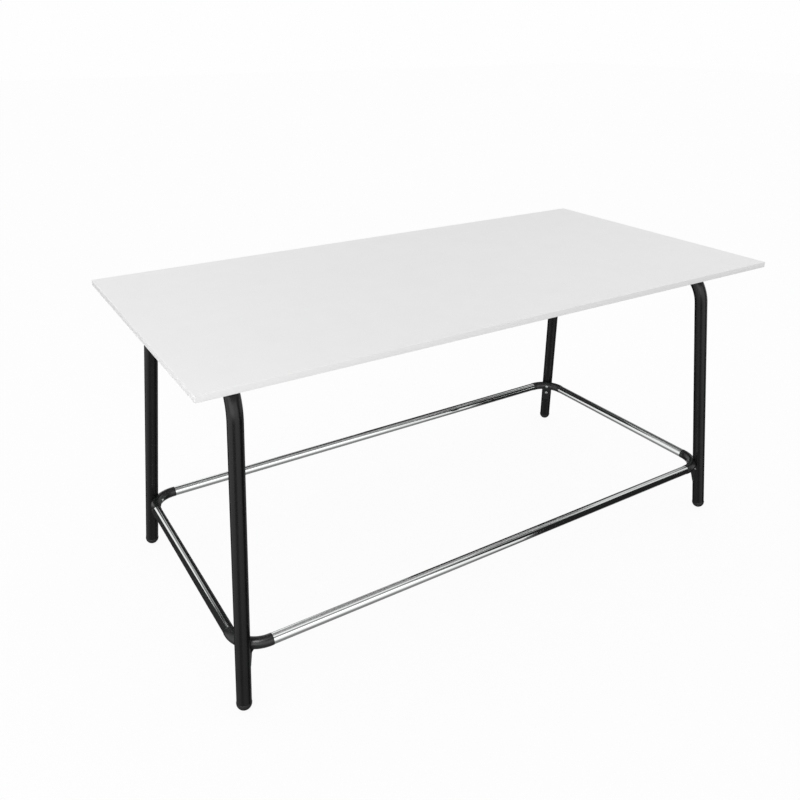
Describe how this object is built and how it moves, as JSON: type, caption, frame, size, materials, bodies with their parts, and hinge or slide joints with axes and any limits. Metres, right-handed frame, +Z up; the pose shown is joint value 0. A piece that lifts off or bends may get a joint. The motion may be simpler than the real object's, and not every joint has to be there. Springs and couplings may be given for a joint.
{
  "type": "standing meeting table",
  "caption": "Standing-height rectangular meeting table: thin white top on splayed bent-tube end frames, tied by a chrome foot rail with moulded black corner connectors.",
  "frame": {"origin": "on the floor under the middle of the top", "axes": "+X along the length of the table to the right, +Y from the front edge to the back edge, +Z up"},
  "size_m": [2.1, 1.05, 1.05],
  "materials": {
    "white_laminate": "satin high-pressure laminate, fine even texture",
    "white_edging": "satin extruded edge band with rounded arrises",
    "chipboard": "raw pressed chipboard, hidden inside the top",
    "black_powder_coat": "satin powder coat with a fine orange peel",
    "black_plastic": "moulded nylon, satin with a fine grain",
    "chrome": "bright chrome plate on drawn tube",
    "zinc_plated_steel": "zinc plate, dull bright"
  },
  "bodies": {
    "root": {"back_foot_rail": "chrome", "back_left_connector": "black_plastic", "back_left_foot": "black_plastic", "back_left_lower_screw": "zinc_plated_steel", "back_left_upper_screw": "zinc_plated_steel", "back_right_connector": "black_plastic", "back_right_foot": "black_plastic", "back_right_lower_screw": "zinc_plated_steel", "back_right_upper_screw": "zinc_plated_steel", "edge_band_back": "white_edging", "edge_band_front": "white_edging", "edge_band_left": "white_edging", "edge_band_right": "white_edging", "front_foot_rail": "chrome", "front_left_connector": "black_plastic", "front_left_foot": "black_plastic", "front_left_lower_screw": "zinc_plated_steel", "front_left_upper_screw": "zinc_plated_steel", "front_right_connector": "black_plastic", "front_right_foot": "black_plastic", "front_right_lower_screw": "zinc_plated_steel", "front_right_upper_screw": "zinc_plated_steel", "left_foot_rail": "chrome", "left_leg_frame": "black_powder_coat", "mounting_plate_left_back": "black_powder_coat", "mounting_plate_left_front": "black_powder_coat", "mounting_plate_right_back": "black_powder_coat", "mounting_plate_right_front": "black_powder_coat", "right_foot_rail": "chrome", "right_leg_frame": "black_powder_coat", "stiffener_back": "black_powder_coat", "stiffener_front": "black_powder_coat", "top_backing_laminate": "white_laminate", "top_core_board": "chipboard", "top_laminate": "white_laminate", "top_screw_1": "zinc_plated_steel", "top_screw_10": "zinc_plated_steel", "top_screw_11": "zinc_plated_steel", "top_screw_12": "zinc_plated_steel", "top_screw_13": "zinc_plated_steel", "top_screw_14": "zinc_plated_steel", "top_screw_15": "zinc_plated_steel", "top_screw_16": "zinc_plated_steel", "top_screw_2": "zinc_plated_steel", "top_screw_3": "zinc_plated_steel", "top_screw_4": "zinc_plated_steel", "top_screw_5": "zinc_plated_steel", "top_screw_6": "zinc_plated_steel", "top_screw_7": "zinc_plated_steel", "top_screw_8": "zinc_plated_steel", "top_screw_9": "zinc_plated_steel"}
  },
  "joints": []
}
